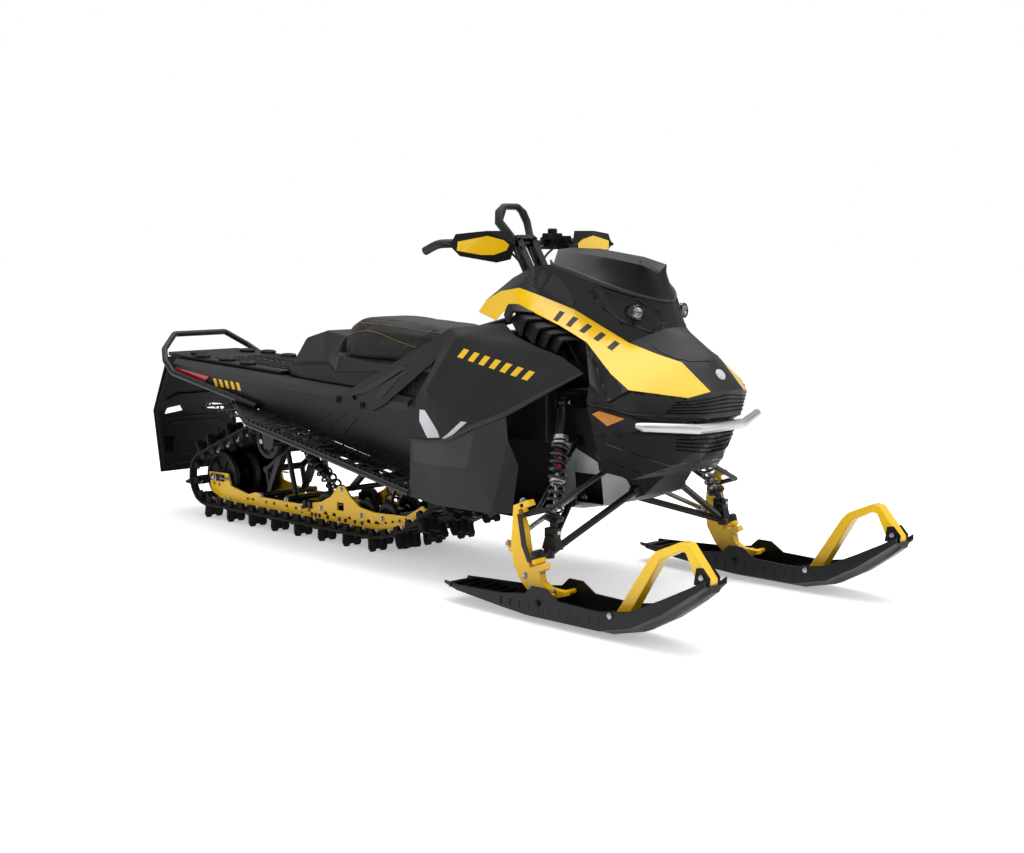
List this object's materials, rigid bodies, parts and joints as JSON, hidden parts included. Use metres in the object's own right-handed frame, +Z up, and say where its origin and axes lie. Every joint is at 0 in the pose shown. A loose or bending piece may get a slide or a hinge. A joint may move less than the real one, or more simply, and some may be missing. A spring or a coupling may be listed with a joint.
{
  "type": "snowmobile",
  "caption": "Deep-snow mountain snowmobile with a long lugged track, slide rails, two steered skis, faceted yellow and grey bodywork, seat and handlebar with hand guards",
  "frame": {"origin": "centre of the footprint on the floor", "axes": "+X forward, +Y to the rider's left, +Z up"},
  "size_m": [3.166, 1.084, 1.232],
  "materials": {
    "track_rubber": "satin",
    "black_plastic": "textured",
    "grey_plastic": "textured",
    "yellow_plastic": "gloss",
    "yellow_metal": "gloss",
    "black_metal": "satin",
    "dark_aluminium": "satin",
    "cast_aluminium": "cast",
    "bare_steel": "brushed",
    "silver_metal": "satin",
    "seat_vinyl": "matte",
    "seat_base_plastic": "textured",
    "wheel_rubber": "satin",
    "red_lens": "gloss",
    "orange_lens": "gloss",
    "clear_lens": "polished",
    "tinted_screen": "gloss",
    "engine_metal": "cast",
    "ski_plastic": "textured",
    "tank_plastic": "textured"
  },
  "bodies": {
    "chassis": {"belly_pan": "black_plastic", "bulkhead": "cast_aluminium", "corner_panels": "grey_plastic", "cowl": "grey_plastic", "drive_axle": "black_plastic", "engine": "engine_metal", "foot_wells": "black_plastic", "front_arm": "black_metal", "front_bumper": "silver_metal", "front_shocks": "black_metal", "fuel_tank": "tank_plastic", "headlights": "clear_lens", "hood_bands": "yellow_plastic", "idler_wheels": "wheel_rubber", "lower_arms": "black_metal", "lower_panels": "grey_plastic", "nose_grille": "black_plastic", "rail_sliders": "black_plastic", "rear_arm": "black_metal", "rear_axle": "wheel_rubber", "rear_bumper": "black_metal", "rear_deck": "black_plastic", "reflectors": "orange_lens", "running_boards": "dark_aluminium", "seat_base": "seat_base_plastic", "seat_cushion": "seat_vinyl", "side_frames": "dark_aluminium", "side_panels": "grey_plastic", "skid_hangers": "dark_aluminium", "skid_shocks": "black_metal", "slide_rails": "yellow_metal", "snow_flap": "black_plastic", "tail_lights": "red_lens", "track": "track_rubber", "tunnel": "dark_aluminium", "under_tray": "black_plastic", "upper_arms": "black_metal", "upper_frame": "black_metal", "upper_idler": "wheel_rubber", "vent_louvres": "black_plastic", "windshield": "tinted_screen"},
    "handlebar": {"handlebar": "black_metal", "hand_guards": "black_plastic", "bar_controls": "black_plastic"},
    "ski_leg_right": {"spindle_right": "yellow_metal", "ski_right": "ski_plastic", "ski_loop_right": "yellow_plastic"},
    "ski_leg_left": {"spindle_left": "yellow_metal", "ski_left": "ski_plastic", "ski_loop_left": "yellow_plastic"},
    "tie_rod_right": {"tie_rod_right": "bare_steel"},
    "tie_rod_left": {"tie_rod_left": "bare_steel"}
  },
  "joints": [
    {"name": "steering", "type": "hinge", "parent": "chassis", "child": "handlebar", "pos_m": [0.398, 0, 1.1], "axis": [-0.5299, 0, 0.848], "range_deg": [-36, 36]},
    {"name": "ski_steer_right", "type": "hinge", "parent": "chassis", "child": "ski_leg_right", "pos_m": [0.921, -0.46, 0.176], "axis": [-0.3584, 0, 0.9336], "range_deg": [-29, 29]},
    {"name": "ski_steer_left", "type": "hinge", "parent": "chassis", "child": "ski_leg_left", "pos_m": [0.921, 0.46, 0.176], "axis": [-0.3584, 0, 0.9336], "range_deg": [-29, 29]},
    {"name": "tie_rod_ball_right", "type": "hinge", "parent": "ski_leg_right", "child": "tie_rod_right", "pos_m": [0.795, -0.46, 0.202], "axis": [-0.3584, 0, 0.9336], "range_deg": [-29, 29]},
    {"name": "tie_rod_ball_left", "type": "hinge", "parent": "ski_leg_left", "child": "tie_rod_left", "pos_m": [0.795, 0.46, 0.202], "axis": [-0.3584, 0, 0.9336], "range_deg": [-29, 29]}
  ],
  "couplings": [
    {"joint": "ski_steer_right", "follows": "steering", "ratio": 0.8},
    {"joint": "ski_steer_left", "follows": "steering", "ratio": 0.8},
    {"joint": "tie_rod_ball_right", "follows": "steering", "ratio": -0.8},
    {"joint": "tie_rod_ball_left", "follows": "steering", "ratio": -0.8}
  ]
}
